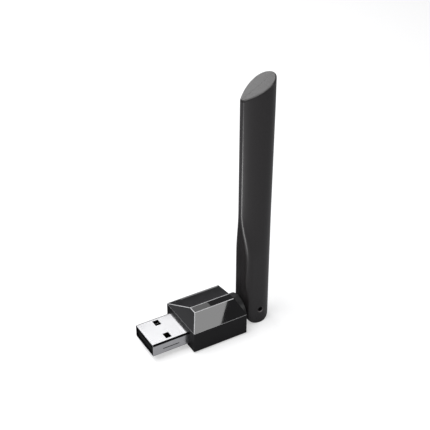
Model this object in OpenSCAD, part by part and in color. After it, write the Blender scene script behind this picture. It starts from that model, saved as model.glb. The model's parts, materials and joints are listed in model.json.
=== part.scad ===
// USB radio adapter: a small stick with a faceted case and a tall antenna that
// swivels about the stick's axis and folds down behind it.
// Millimetres. Origin: centre of the case's flat underside. +Z is up, the plug
// points along -X and the antenna stands at the +X end.

/* [Case] */
// Length of the case along X
case_l = 19.4; // [19:0.1:21]
// Width of the case along Y
case_w = 18; // [17.6:0.1:20]
// Height of the lower case, up to the seam
case_h = 7.4; // [7.2:0.1:7.8]
// Height of the cap's flat top strip
cap_top = 12.2; // [11.8:0.1:13]
// Edge of the top strip on the -Y side
strip_y0 = -5; // [-5.4:0.1:-4.6]
// Edge of the top strip on the +Y side
strip_y1 = -2.1; // [-2.4:0.1:-1.5]
// How far each end of the cap leans in
hip = 2.55; // [2.2:0.05:3]
// Wall thickness of the case and the cap
wall = 1.2; // [1:0.05:1.3]
// Thickness of the case floor
floor_t = 0.9; // [0.8:0.05:1]
// Depth of the cap's lip inside the lower case
lip_h = 0.9; // [0.6:0.1:1]

/* [USB plug] */
// Width of the plug shell
plug_w = 12; // [12:0.05:12.1]
// Height of the plug shell
plug_h = 4.5; // [4.5:0.05:4.6]
// Length of plug shell outside the case
plug_out = 12.8; // [12:0.1:13.2]
// Height of the plug's centre line
plug_z = 3.7; // [3.6:0.05:3.75]
// Thickness of the shell's sheet metal
sheet = 0.3; // [0.25:0.01:0.32]
// Radius on the long edges of the shell
plug_r = 0.6; // [0.5:0.05:0.8]

/* [Circuit board] */
// Thickness of the board
board_t = 1; // [0.8:0.1:1]
// Diameter of the coax cable
coax_d = 1.13; // [1:0.01:1.2]

/* [Swivel] */
// Offset of the swivel axis and the antenna from the case's centre
axis_y = -2; // [-2.2:0.1:-1.8]
// Height of the swivel axis and the hinge pin
axis_z = 4.8; // [4.75:0.05:4.9]
// Radius of the round boss on the back of the case
boss_r = 5.5; // [5.2:0.1:5.6]
// How far the boss stands out behind the case
boss_out = 0.9; // [0.8:0.05:0.9]
// Radius of the journal that turns in the socket
journal_r = 2.55; // [2.5:0.01:2.56]
// Radius of the collar between the boss and the antenna
collar_r = 4.4; // [4:0.1:4.4]

/* [Hinge] */
// Distance of the hinge pin behind the case
pin_out = 6.9; // [6.9:0.05:7.1]
// Radius of the hinge pin
pin_r = 0.85; // [0.8:0.01:0.9]
// Width of the knuckle's tongue
tongue_w = 3.4; // [3.2:0.1:3.4]
// Radius of the tongue's round end
tongue_r = 3.2; // [3:0.1:3.2]
// Height of the tongue's straight part
tongue_h = 5.2; // [4.8:0.1:5.2]

/* [Antenna] */
// Radius of the antenna's round foot, about the hinge pin
foot_r = 5.3; // [5.2:0.05:5.3]
// Distance of the antenna's front face from the hinge pin
hinge_front = 5.2; // [5:0.05:5.2]
// Distance of the antenna's back from the hinge pin
hinge_back = 4.7; // [4.6:0.05:4.8]
// Half the antenna's width at the hinge
hinge_half = 4.3; // [4.2:0.05:4.5]
// Radius of the blade's round back
blade_r = 4.15; // [4:0.05:4.2]
// Radius of the blade's nose, which faces the plug
nose_r = 1.35; // [1.1:0.05:1.4]
// Distance of the nose in front of the hinge pin
nose_out = 6.1; // [5.8:0.1:6.2]
// Height where the hinge section starts to change
blend_z0 = 25; // [24:0.1:28]
// Height where the blade section is reached
blend_z1 = 42; // [38:0.1:44]
// How much farther back the blade's back stands at the top
back_lean = 0.45; // [0:0.05:0.6]
// Height of the nose at the sloping top
tip_z = 80; // [74:0.1:84]
// Slope of the top, in degrees
top_slope = 30; // [25:1:32]

/* [Hidden] */
$fn = 64;

black = "#1d1e20";
gloss_black = "#232326";
charcoal = "#363334";
steel = "#c9c9c9";
gold = "#d8b45a";

fit = 0.05;
fine_fit = 0.02;
lip_t = 0.8;
ledge_w = 0.7;

case_x = case_l / 2;
case_y = case_w / 2;
rise = cap_top - case_h;
mouth_x = -case_x - plug_out;
shell_x1 = -case_x + 4.3;
block_x0 = mouth_x + 9.6;
latch_x = mouth_x + 5.2;
latch_l = 2;
latch_w = 2.5;
latch_y = 3.5;
slit_x = mouth_x + 3.4;
slit_l = 5.7;
slit_h = 0.3;
slit_z = plug_z - 0.2;
plug_floor = plug_z - plug_h / 2 + sheet;
tongue_top = plug_z - 0.05;
contact_t = 0.25;
contact_w = 1;
contact_y = [-3.5, -1, 1, 3.5];
contact_in = [1.4, 2.4, 2.4, 1.4];
contact_foot = 2.1;
tongue_in = 0.5;
tab_l = 2;
tab_h = 1.2;

board_top = tongue_top - contact_t;
board_z = board_top - board_t;
board_x0 = shell_x1 + 0.4;
board_x1 = case_x - 4.7;
board_y = case_y - wall - 0.2;
coax_r = coax_d / 2;

pin_x = case_x + pin_out;
boss_x1 = case_x + boss_out;
collar_x0 = boss_x1 + 0.05;
collar_x1 = pin_x - foot_r - 0.15;
journal_x0 = case_x - 4.5;
bore_r = journal_r + 0.05;
neck_r = 3.6;
flange_r = 4.6;
flange_x0 = case_x - 3.4;
flange_x1 = case_x - 2.5;
washer_t = 0.15;
washer_x0 = flange_x0 - washer_t - fine_fit;
washer_r = 3.7;
clip_t = 0.42;
clip_x0 = washer_x0 - clip_t - fit;
clip_r = journal_r + 0.95;
clip_gap = 2.6;
ring_x = case_x - 0.8;
ring_r = 0.285;
groove_r = 2;
elbow_x = pin_x - 2.95;
channel_r = coax_r + 0.15;

slot_w = tongue_w + 0.5;
hinge_washer_t = 0.2;
hinge_washer_r = tongue_r - 0.9;
slot_r = tongue_r + 0.2;
slot_top = tongue_h / 2 + 0.15;
web_z = axis_z + slot_top + 1.05;
core_x = pin_x + 0.5;
skin_t = 1.2;
top_t = 1.4;
cable_x = elbow_x + 0.4;
pin_depth = 1.3;
hole_r = pin_r + 0.01;
hole_edge = 0.25;
sleeve_z0 = 18;
sleeve_z1 = 45;
radiator_z1 = 75;
sleeve_r = 2.2;
sleeve_bore = 2;
holder_r = 2.5;
element_r = 0.45;

// ---------------------------------------------------------------- helpers

// Cylinder along X on the swivel axis
module x_cyl(r, x0, x1)
    translate([x0, axis_y, axis_z]) rotate([0, 90, 0]) cylinder(r = r, h = x1 - x0);

// Cylinder along Y on the hinge axis, between two distances from the antenna's middle plane
module y_cyl(r, y0, y1)
    translate([pin_x, axis_y + y1, axis_z]) rotate([90, 0, 0]) cylinder(r = r, h = y1 - y0);

// Box between two corners
module span(a, b) translate(a) cube(b - a);

// Round cable through a list of points; each run goes on a little past its knee
module cable(points, r) {
    last = len(points) - 2;
    for (i = [0 : last]) {
        run = points[i + 1] - points[i];
        before = i > 0 ? r / 2 : 0;
        after = i < last ? r / 2 : 0;
        translate(points[i])
            rotate([0, acos(run.z / norm(run)), atan2(run.y, run.x)])
                translate([0, 0, -before]) cylinder(r = r, h = norm(run) + before + after);
    }
}

// Rectangle with round corners, centred
module round_rect(w, h, r) {
    square([w - 2 * r, h], center = true);
    square([w, h - 2 * r], center = true);
    for (x = [-1, 1], y = [-1, 1]) translate([x * (w / 2 - r), y * (h / 2 - r)]) circle(r = r);
}

// Plug-shaped bar along X
module plug_bar(w, h, r, x0, x1)
    translate([x0, 0, plug_z]) rotate([90, 0, 90]) linear_extrude(x1 - x0) round_rect(w, h, r);

// Small part standing on the board's upper face
module on_board(x, y, size) translate([x - size.x / 2, y - size.y / 2, board_top]) cube(size);

// ---------------------------------------------------------------- case shape

// Level distance between a sloping face and the same face moved in by t
function slant(run, t) = t * sqrt(1 + pow(run / rise, 2));

// Faces of the cap at height z, moved in by t
function right_y(z, t) =
    -case_y + (strip_y0 + case_y) * (z - case_h) / rise + slant(strip_y0 + case_y, t);
function left_y(z, t) = case_y - (case_y - strip_y1) * (z - case_h) / rise - slant(case_y - strip_y1, t);
function hip_x(z, t) = case_x - hip * (z - case_h) / rise - slant(hip, t);

// The cap's outer block, or its hollow when t is the wall thickness
module cap_block(t, z0) {
    z1 = cap_top - t;
    intersection() {
        translate([-case_l, 0, 0]) rotate([90, 0, 90]) linear_extrude(2 * case_l)
            polygon([[right_y(z0, t), z0], [right_y(z1, t), z1],
                     [left_y(z1, t), z1], [left_y(z0, t), z0]]);
        rotate([90, 0, 0]) linear_extrude(2 * case_w, center = true)
            polygon([[-hip_x(z0, t), z0], [-hip_x(z1, t), z1], [hip_x(z1, t), z1], [hip_x(z0, t), z0]]);
    }
}

// Neck of the swivel socket where it passes the back wall; shoulder is the height
// of its square upper corners above the axis, which stop it turning
module neck(r, x0, x1, shoulder) {
    x_cyl(r, x0, x1);
    if (shoulder > 0) span([x0, axis_y - r, axis_z], [x1, axis_y + r, axis_z + shoulder]);
}

// Opening for the plug shell in the front wall, with a gap all round
module usb_opening(gap)
    plug_bar(plug_w + 2 * gap, plug_h + 2 * gap, plug_r + gap, -case_x - 1, -case_x + wall + 1);

// ---------------------------------------------------------------- USB plug

module usb_shell() color(steel) {
    difference() {
        plug_bar(plug_w, plug_h, plug_r, mouth_x, shell_x1);
        plug_bar(plug_w - 2 * sheet, plug_h - 2 * sheet, plug_r - sheet, mouth_x - 1, shell_x1 + 1);
        for (side = [-1, 1])
            span([latch_x, side * latch_y - latch_w / 2, 0],
                 [latch_x + latch_l, side * latch_y + latch_w / 2, plug_z + plug_h]);
        span([slit_x, -plug_w, slit_z - slit_h / 2], [slit_x + slit_l, plug_w, slit_z + slit_h / 2]);
    }
    for (side = [-1, 1])
        translate([shell_x1 - 0.2, side * (plug_w - sheet) / 2 - sheet / 2, board_top])
            cube([tab_l, sheet, tab_h]);
}

// The four contacts, or the room for them with a gap all round
module contact_strips(gap)
    for (i = [0 : 3])
        span([mouth_x + contact_in[i] - gap, contact_y[i] - contact_w / 2 - gap, board_top - gap],
             [board_x0 + contact_foot, contact_y[i] + contact_w / 2 + gap, tongue_top + (gap > 0 ? 1 : 0)]);

module usb_insulator() color(black) difference() {
    union() {
        span([mouth_x + tongue_in, -plug_w / 2 + sheet + fit, plug_floor + fine_fit],
             [block_x0 + 1, plug_w / 2 - sheet - fit, tongue_top]);
        plug_bar(plug_w - 2 * (sheet + fit), plug_h - 2 * (sheet + fine_fit), plug_r - sheet,
                 block_x0, shell_x1 + 0.3);
    }
    for (y = contact_y)
        span([block_x0 - 1, y - contact_w / 2 - fine_fit, board_top - fine_fit],
             [shell_x1 + 1, y + contact_w / 2 + fine_fit, tongue_top + fine_fit]);
    intersection() {
        contact_strips(fine_fit);
        span([mouth_x, -plug_w, 0], [block_x0, plug_w, plug_z + plug_h]);
    }
}

module usb_contacts() color(gold) contact_strips(0);

// ---------------------------------------------------------------- case

module lower_case() color(black) {
    difference() {
        span([-case_x, -case_y, 0], [case_x, case_y, case_h]);
        span([-case_x + wall, -case_y + wall, floor_t], [case_x - wall, case_y - wall, case_h + 1]);
        usb_opening(fit);
        neck(neck_r + fit, case_x - wall - 1, case_x + 1, case_h - axis_z + 1);
    }
    for (side = [-1, 1])
        span([board_x0, side > 0 ? board_y - ledge_w : -case_y + wall, floor_t - 0.1],
             [board_x1, side > 0 ? case_y - wall : ledge_w - board_y, board_z]);
    span([-case_x + wall - 0.1, -plug_w / 2 + plug_r, floor_t - 0.1],
         [shell_x1, plug_w / 2 - plug_r, plug_z - plug_h / 2]);
}

module upper_cap() color(gloss_black) difference() {
    union() {
        difference() {
            cap_block(0, case_h);
            cap_block(wall, case_h - 1);
        }
        lip_x = case_x - wall - fit;
        lip_y = case_y - wall - fit;
        difference() {
            span([-lip_x, -lip_y, case_h - lip_h], [lip_x, lip_y, case_h + 0.6]);
            span([lip_t - lip_x, lip_t - lip_y, 0], [lip_x - lip_t, lip_y - lip_t, cap_top]);
        }
    }
    neck(neck_r + fit, flange_x0 - 0.1, case_x + 1, case_h - axis_z);
}

// ---------------------------------------------------------------- board and its parts

module circuit_board() color("#1f5a3a")
    span([board_x0, -board_y, board_z], [board_x1, board_y, board_top]);

module radio_chip() color("#26272a") on_board(1, 3.4, [4, 4, 0.85]);

module memory_chip() color("#2b2c2f") span([-1.5, 1.2, board_z - 0.8], [1.5, 4.2, board_z]);

module crystal() color("#b9bcc0") {
    on_board(2.9, -5.9, [3.2, 2.5, 0.5]);
    translate([0, 0, 0.5]) on_board(2.9, -5.9, [2.8, 2.1, 0.2]);
}

module power_inductor() color("#4a4b4e") on_board(-1.5, -5.6, [2, 1.6, 1]);

module capacitors() color("#b08a5c") {
    for (y = [5.9, 6.9]) on_board(-2.3, y, [1, 0.5, 0.5]);
    for (y = [1.9, 3.4, 4.9]) on_board(4.1, y, [1, 0.5, 0.5]);
    on_board(-1.4, -3.6, [1.6, 0.8, 0.8]);
    on_board(-1.9, 0.4, [1.6, 0.8, 0.8]);
}

module resistors() color("#2e2f31") {
    for (y = [2.2, 3.4, 4.6]) on_board(-2.3, y, [1, 0.5, 0.35]);
    for (x = [0.4, 2]) on_board(x, 6.7, [1, 0.5, 0.35]);
}

// Cable from its solder pad on the board up to the end of the journal
module coax_board() color("#d9d9d4")
    cable([[1.2, axis_y, board_top + coax_r], [2.4, axis_y, board_top + coax_r],
           [3.7, axis_y, axis_z], [journal_x0 - 0.03, axis_y, axis_z]], coax_r);

// ---------------------------------------------------------------- swivel

// Bush held between the case and the cap, with a round boss outside
module swivel_socket() color(black) difference() {
    union() {
        difference() {
            x_cyl(boss_r, case_x - hip, boss_x1);
            span([-case_x, -case_y, -1], [case_x, case_y, case_h]);
            cap_block(0, case_h);
        }
        neck(neck_r, flange_x0, case_x + 0.2, case_h - axis_z - 0.03);
        x_cyl(flange_r, flange_x0, flange_x1);
    }
    span([flange_x0 - 1, -case_w, -case_h], [case_x, case_w, floor_t + 0.03]);
    span([flange_x0 - 1, -case_w, -case_h], [boss_x1 + 1, case_w, fit]);
    x_cyl(bore_r, flange_x0 - 1, boss_x1 + 1);
}

module thrust_washer() color(steel) difference() {
    x_cyl(washer_r, washer_x0, washer_x0 + washer_t);
    x_cyl(bore_r + fit, washer_x0 - 1, flange_x0 + 1);
}

// Journal, collar and tongue in one moulding, with a channel for the cable
module swivel_knuckle() color(black) difference() {
    union() {
        x_cyl(journal_r, journal_x0, collar_x1);
        x_cyl(collar_r, collar_x0, collar_x1);
        translate([0, axis_y, axis_z]) rotate([90, 0, 0]) linear_extrude(tongue_w, center = true) {
            translate([pin_x, 0]) circle(r = tongue_r);
            translate([collar_x0, -tongue_h / 2]) square([pin_x - collar_x0, tongue_h]);
        }
    }
    y_cyl(pin_r + fit, -tongue_w, tongue_w);
    x_cyl(channel_r, journal_x0 - 1, elbow_x);
    span([elbow_x - channel_r, axis_y - channel_r, axis_z - coax_r],
         [elbow_x + channel_r, axis_y + channel_r, axis_z + tongue_h]);
    difference() {
        union() {
            x_cyl(journal_r + 1, clip_x0 - fine_fit, clip_x0 + clip_t + fine_fit);
            x_cyl(journal_r + 1, ring_x - ring_r - 0.1, ring_x + ring_r + 0.1);
        }
        x_cyl(groove_r, journal_x0 - 1, collar_x0);
    }
}

// Split spring clip in the journal's end groove
module retaining_clip() color(steel) difference() {
    x_cyl(clip_r, clip_x0, clip_x0 + clip_t);
    x_cyl(groove_r + fine_fit, clip_x0 - 1, clip_x0 + 1);
    span([clip_x0 - 1, axis_y - clip_gap / 2, axis_z - 2 * journal_r],
         [clip_x0 + 1, axis_y + clip_gap / 2, axis_z]);
}

module friction_ring() color("#151515")
    translate([ring_x, axis_y, axis_z]) rotate([0, 90, 0]) rotate_extrude()
        translate([groove_r + ring_r, 0]) circle(r = ring_r);

module coax_swivel() color("#d9d9d4")
    cable([[journal_x0 + 0.03, axis_y, axis_z], [elbow_x, axis_y, axis_z],
           [elbow_x, axis_y, axis_z + tongue_h / 2 - 0.2]], coax_r);

// ---------------------------------------------------------------- antenna

// A section is [back centre x, back radius, corner centre x, corner centre y,
// corner radius, angle where the flank meets the corner]
corner_r = 2;
inner_r = 0.3;
inner_nose = 2.6;
nose_flat = 0.12;
flank_angle = 42;
hinge_outer = [pin_x + hinge_back - hinge_half, hinge_half, pin_x - hinge_front + corner_r,
               hinge_half - corner_r, corner_r, 0];
hinge_inner = [hinge_outer[0], hinge_half - skin_t, pin_x - hinge_front + skin_t + inner_r,
               hinge_half - skin_t - inner_r, inner_r, 0];
blade_outer = [core_x, blade_r, pin_x - nose_out + nose_r, nose_flat, nose_r, flank_angle];
blade_inner = [core_x, blade_r - skin_t, pin_x - nose_out + inner_nose, nose_flat, inner_r, flank_angle];

// Share of the blade section at height z: 0 at the hinge, 1 up the blade
function blade_share(z) =
    let (t = max(0, min(1, (z - blend_z0) / (blend_z1 - blend_z0)))) t * t * (3 - 2 * t);

// How far back the middle of the section's back has moved at height z
function lean(z) = back_lean * max(0, z - blend_z0) / (tip_z - blend_z0);

// Section at height z
function section(hinge, blade, z) = hinge + (blade - hinge) * blade_share(z) + [lean(z), 0, 0, 0, 0, 0];

// Half outline of a section, from the middle of the back round to the nose:
// a quarter circle, a flank that bends evenly, and a corner arc
function half_outline(s) =
    let (start = [s[2] - s[4] * sin(s[5]), s[3] + s[4] * cos(s[5])],
         drop = s[1] - start.y,
         power = drop > 0.05 ? max(1, tan(s[5]) * (s[0] - start.x) / drop) : 1)
    concat([for (i = [0 : 9]) [s[0], 0] + s[1] * [cos(10 * i), sin(10 * i)]],
           [for (i = [1 : 6]) let (u = i / 7) [s[0] - (s[0] - start.x) * u, s[1] - drop * pow(u, power)]],
           [for (i = [0 : 6]) let (a = s[5] + (90 - s[5]) * i / 6)
               [s[2] - s[4] * sin(a), s[3] + s[4] * cos(a)]]);

function outline(s) =
    let (half = half_outline(s), n = len(half))
    concat(half, [for (i = [n - 1 : -1 : 1]) [half[i].x, -half[i].y]]);

// Height of the sloping top above a point at x
function top_z(x) = tip_z + tan(top_slope) * (x - pin_x + nose_out);

// Solid through the sections from z0 to the sloping top, lowered by drop
module antenna_skin(hinge, blade, z0, drop) {
    levels = concat([z0], [for (i = [0 : 8]) blend_z0 + (blend_z1 - blend_z0) * i / 8]);
    rings = [for (z = levels) [for (p = outline(section(hinge, blade, z))) [p.x, p.y, z]]];
    last = [for (p = outline(section(hinge, blade, tip_z))) [p.x, p.y, top_z(p.x) - drop]];
    all_rings = concat(rings, [last]);
    n = len(last);
    m = len(all_rings);
    sides = [for (k = [0 : m - 2], i = [0 : n - 1])
        let (a = k * n + i, b = k * n + (i + 1) % n)
        each [[a, a + n, b + n], [a, b + n, b]]];
    translate([0, axis_y, 0])
        polyhedron([for (ring = all_rings) each ring],
                   concat(sides, [[for (i = [0 : n - 1]) i],
                                  [for (i = [n - 1 : -1 : 0]) (m - 1) * n + i]]));
}

// Room for the tongue from upright to folded down
module hinge_slot()
    translate([pin_x, axis_y, axis_z]) rotate([90, 0, 0]) linear_extrude(slot_w, center = true) {
        circle(r = slot_r);
        translate([-2 * foot_r, -2 * foot_r]) square([2 * foot_r, 2 * foot_r + slot_top]);
        translate([-2 * foot_r, -2 * foot_r]) square([2 * foot_r + slot_top, 2 * foot_r]);
    }

// One half of the antenna's casing: side is -1 for the right half, 1 for the left
module antenna_half(side) color(charcoal) difference() {
    intersection() {
        antenna_skin(hinge_outer, blade_outer, axis_z - foot_r - 0.5, 0);
        union() {
            y_cyl(foot_r, -2 * foot_r, 2 * foot_r);
            span([0, -case_w, axis_z], [2 * pin_x, case_w, 2 * tip_z]);
        }
        translate([0, side > 0 ? axis_y : axis_y - case_w, -foot_r]) cube([2 * pin_x, case_w, 2 * tip_z]);
    }
    antenna_skin(hinge_inner, blade_inner, web_z, top_t);
    hinge_slot();
    y_cyl(hole_r, -2 * foot_r, 2 * foot_r);
    translate([pin_x, axis_y + side * (hinge_half - hole_edge), axis_z]) rotate([-90 * side, 0, 0])
        cylinder(r1 = hole_r, r2 = hole_r + 2 * hole_edge, h = 2 * hole_edge);
    translate([cable_x, axis_y, axis_z]) cylinder(r = coax_r + 0.2, h = web_z);
}

module antenna_right_shell() antenna_half(-1);

module antenna_left_shell() antenna_half(1);

module hinge_pin() color("#3a3b3d") y_cyl(pin_r, pin_depth - hinge_half, hinge_half - pin_depth);

module hinge_washers() color("#e6e4dc") for (side = [-1, 1]) difference() {
    translate([0, side * (slot_w - hinge_washer_t) / 2, 0])
        y_cyl(hinge_washer_r, -hinge_washer_t / 2, hinge_washer_t / 2);
    y_cyl(pin_r + fine_fit, -slot_w, slot_w);
}

// Cable from above the hinge to the radiating element
module coax_antenna() color("#d9d9d4")
    cable([[cable_x, axis_y, axis_z + slot_top + 0.2], [cable_x, axis_y, web_z + 0.8],
           [core_x, axis_y, web_z + 4.8], [core_x, axis_y, sleeve_z1]], coax_r);

// Tube on the antenna's core line
module z_tube(outer, inner, z0, z1) translate([core_x, axis_y, z0]) difference() {
    cylinder(r = outer, h = z1 - z0);
    translate([0, 0, -1]) cylinder(r = inner, h = z1 - z0 + 2);
}

module ground_sleeve() color("#c9a24b") z_tube(sleeve_r, sleeve_bore, sleeve_z0, sleeve_z1 - 0.5);

module sleeve_insulator() color("#f0f0ea") {
    z_tube(sleeve_bore - 0.03, coax_r + fine_fit, sleeve_z1 - 6, sleeve_z1 - 0.5);
    z_tube(sleeve_r, coax_r + fine_fit, sleeve_z1 - 0.5, sleeve_z1);
    z_tube(sleeve_r, element_r + fine_fit, sleeve_z1, sleeve_z1 + 1);
}

module radiator() color("#b8693a")
    translate([core_x, axis_y, sleeve_z1]) cylinder(r = element_r, h = radiator_z1 - sleeve_z1);

module radiator_holder() color("#f0f0ea")
    z_tube(holder_r, element_r + fine_fit, radiator_z1 - 4, radiator_z1 - 2);

// ---------------------------------------------------------------- nodes

usb_shell();
usb_insulator();
usb_contacts();
lower_case();
upper_cap();
circuit_board();
radio_chip();
memory_chip();
crystal();
power_inductor();
capacitors();
resistors();
coax_board();
swivel_socket();
thrust_washer();
swivel_knuckle();
retaining_clip();
friction_ring();
coax_swivel();
antenna_right_shell();
antenna_left_shell();
hinge_pin();
hinge_washers();
coax_antenna();
ground_sleeve();
sleeve_insulator();
radiator();
radiator_holder();
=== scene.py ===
"""Looks of a small USB radio adapter, built around its packed construction model.

The stick's case and cap, the plug's shell and the swivel are the model's own shapes with their edges
broken; the antenna, the hinge pin and the contacts are surfaces worked out here. Everything is in
metres, in the model's frame: +Z is up, the plug points along -X and the antenna stands at the +X end.
"""

import json
import math

import bmesh
import bpy
import numpy as np
from bpy.props import FloatProperty, FloatVectorProperty, PointerProperty, StringProperty
from mathutils import Matrix, Vector


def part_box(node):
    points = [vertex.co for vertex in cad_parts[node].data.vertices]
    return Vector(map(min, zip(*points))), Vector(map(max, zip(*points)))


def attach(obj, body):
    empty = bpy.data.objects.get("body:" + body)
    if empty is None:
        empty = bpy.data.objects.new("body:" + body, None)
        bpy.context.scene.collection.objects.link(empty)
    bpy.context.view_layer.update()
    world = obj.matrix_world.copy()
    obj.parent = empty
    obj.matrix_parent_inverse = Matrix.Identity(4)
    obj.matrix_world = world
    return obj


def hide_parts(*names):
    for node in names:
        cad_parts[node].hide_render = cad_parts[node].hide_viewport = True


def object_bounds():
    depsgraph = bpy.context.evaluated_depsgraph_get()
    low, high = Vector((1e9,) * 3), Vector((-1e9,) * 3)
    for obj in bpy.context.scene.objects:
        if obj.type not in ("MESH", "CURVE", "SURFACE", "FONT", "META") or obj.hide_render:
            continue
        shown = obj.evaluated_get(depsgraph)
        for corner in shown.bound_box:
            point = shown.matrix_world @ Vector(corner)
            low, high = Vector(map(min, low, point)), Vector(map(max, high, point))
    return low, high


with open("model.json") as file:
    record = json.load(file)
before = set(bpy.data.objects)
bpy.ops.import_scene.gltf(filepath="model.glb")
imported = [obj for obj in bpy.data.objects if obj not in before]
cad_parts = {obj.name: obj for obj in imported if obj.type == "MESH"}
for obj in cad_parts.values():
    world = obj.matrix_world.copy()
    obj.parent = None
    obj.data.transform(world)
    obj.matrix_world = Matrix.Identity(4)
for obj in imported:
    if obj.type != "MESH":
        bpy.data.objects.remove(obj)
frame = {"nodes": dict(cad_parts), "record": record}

bl_info = {
    "name": "USB radio adapter",
    "version": (1, 0, 0),
    "blender": (4, 5, 0),
    "location": "3D View > Sidebar > Adapter",
    "description": "Builds the casings, finishes and studio of a USB radio adapter",
    "category": "Object",
}

MM = 0.001
MERGE = 0.5e-6
CAD_LOW, CAD_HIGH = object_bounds()


def middle(node):
    """Middle of a construction node's box, in metres."""
    low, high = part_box(node)
    return (low + high) / 2


PIN = middle("hinge_pin")
AXIS_Y = PIN.y
HOLE_R = (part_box("hinge_pin")[1].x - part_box("hinge_pin")[0].x) / 2 + 0.01 * MM
CASE_LOW, CASE_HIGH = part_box("lower_case")
CAP_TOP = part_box("upper_cap")[1].z
PLUG_LOW, PLUG_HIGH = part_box("usb_shell")
BLADE_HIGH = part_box("antenna_right_shell")[1]
BOSS_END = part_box("swivel_socket")[1].x


# ---------------------------------------------------------------- settings


def length(name, description, default):
    """A length setting; its default is given in millimetres."""
    return FloatProperty(name=name, description=description, default=default * MM, unit="LENGTH")


def angle(name, description, default):
    """An angle setting; its default is given in degrees."""
    return FloatProperty(name=name, description=description, default=math.radians(default), subtype="ANGLE")


def number(name, description, default):
    """A setting that is a plain number."""
    return FloatProperty(name=name, description=description, default=default)


class PlugSizes(bpy.types.PropertyGroup):
    """Sizes of the plug's finished edges."""

    edge: length("Sheet edge", "Broken edge on the sheet metal", 0.05)
    contact_crown: length("Contact crown", "Rise of each contact's sprung nose", 0.12)


class CaseSizes(bpy.types.PropertyGroup):
    """Sizes of the case's finished edges."""

    case_edge: length("Case edge", "Radius on the lower case's outer edges", 0.16)
    cap_edge: length("Cap edge", "Radius on the cap's ridges", 0.14)
    swivel_edge: length("Swivel edge", "Radius on the boss, collar and tongue", 0.14)


class AntennaSizes(bpy.types.PropertyGroup):
    """Sizes of the antenna's sections, which match the construction model."""

    hinge_half: length("Half width at hinge", "Half the width of the hinge section", 4.3)
    hinge_corner: length("Hinge corner", "Corner radius of the hinge section's front", 2.0)
    blade_r: length("Blade back", "Radius of the blade's round back", 4.15)
    nose_r: length("Blade nose", "Radius of the blade's nose", 1.35)
    nose_out: length("Nose distance", "Nose in front of the hinge pin", 6.1)
    back_in: length("Back centre", "Centre of the blade's back behind the pin", 0.5)
    nose_flat: length("Nose flat", "Half the flat on the blade's nose", 0.12)
    meet_angle: angle("Flank angle", "Angle where the flank meets the nose", 42)
    foot_r: length("Foot radius", "Round foot about the hinge pin", 5.3)
    hinge_front: length("Hinge front", "Front face from the hinge pin", 5.2)
    hinge_back: length("Hinge back", "Back from the hinge pin", 4.7)
    blend_low: length("Blend start", "Height where the hinge section starts to change", 25)
    blend_high: length("Blend end", "Height where the blade section is reached", 42)
    back_lean: length("Back lean", "How much farther back the back stands at the top", 0.45)
    slope: angle("Top slope", "Slope of the top", 30)
    rim: length("Rim", "Radius on the rim of the sloping top", 0.45)
    end_edge: length("Foot edge", "Radius where the flanks meet the round foot", 0.35)
    wall: length("Wall", "Wall of the casing", 1.2)
    parting: length("Parting gap", "Half the gap between the halves", 0.02)
    tongue_gap: length("Slot", "Half the width of the slot for the tongue", 1.95)
    slot_r: length("Slot end", "Radius of the slot about the pin", 3.4)
    slot_top: length("Slot top", "Height of the slot above the pin", 2.75)
    hole_edge: length("Hole edge", "Chamfer on the pin hole's mouth", 0.25)


class Colours(bpy.types.PropertyGroup):
    """Colours of the visible finishes, as sRGB hex values."""

    case: StringProperty(name="Case", description="Satin ABS of the lower case", default="#19191b")
    cap: StringProperty(name="Cap", description="Polished ABS of the cap", default="#0b0b0d")
    antenna: StringProperty(name="Antenna", description="Textured ABS of the antenna", default="#262425")
    swivel: StringProperty(name="Swivel", description="Acetal of the swivel", default="#1b1b1c")
    plug: StringProperty(name="Plug", description="Nickel plate on the plug's shell", default="#d8d8da")
    board: StringProperty(name="Board", description="Solder mask on the board", default="#1f5a3a")


class Studio(bpy.types.PropertyGroup):
    """Camera and lamps."""

    azimuth: angle("Azimuth", "Camera's turn about the object", -30.42)
    elevation: angle("Elevation", "Camera's height above the horizon", 33.16)
    distance: length("Distance", "Camera from its aim point", 321.3)
    aim: FloatVectorProperty(
        name="Aim", description="Point at the middle of the view",
        default=(10.65 * MM, 12.83 * MM, 32.69 * MM), subtype="TRANSLATION", unit="LENGTH",
    )
    lens: FloatProperty(name="Lens", description="Focal length in millimetres", default=83.72, subtype="NONE")
    facet_level: number("Facet lamp", "Radiance of the card seen in the cap", 4.4)
    back_level: number("Back lamp", "Radiance of the softbox behind", 5.0)
    plug_level: number("Plug lamp", "Radiance of the card seen in the plug and the top strip", 1.4)
    key_level: number("Key lamp", "Radiance of the softbox overhead", 4.0)
    low_level: number("Low lamp", "Radiance of the low card on the left", 14.0)
    sky_level: number("Sky", "Level of the room's light on the object", 0.2)
    shine_top: number("Shine top", "Share of the cap's ridge that mirrors the card", 0.83)
    shine_foot: number("Shine foot", "Share of the cap's seam that mirrors the card", 0.5)
    shine_strip: number("Shine strip", "Share of the cap's top strip that mirrors its card", 0.42)


# ---------------------------------------------------------------- mesh helpers


def grid_faces(rows, columns, first=0):
    """Quads of a grid whose points are numbered along each row, from first."""
    r, c = np.meshgrid(np.arange(rows - 1), np.arange(columns - 1), indexing="ij")
    corner = r * columns + c + first
    return np.stack([corner, corner + 1, corner + columns + 1, corner + columns], -1).reshape(-1, 4)


def surface_object(name, sheets):
    """One closed object from several grids of points, in metres, that meet along their borders.

    Each sheet is a (rows, columns, 3) array. Shared borders are merged, quads that have
    closed up at a pole are cleaned, and the faces are turned outwards.
    """
    faces, first = [], 0
    for sheet in sheets:
        faces.append(grid_faces(sheet.shape[0], sheet.shape[1], first))
        first += sheet.shape[0] * sheet.shape[1]
    mesh = bpy.data.meshes.new(name)
    points = np.concatenate([sheet.reshape(-1, 3) for sheet in sheets])
    mesh.from_pydata(points.tolist(), [], np.concatenate(faces).tolist())
    tidy(mesh, MERGE)
    return linked(name, mesh)


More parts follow.
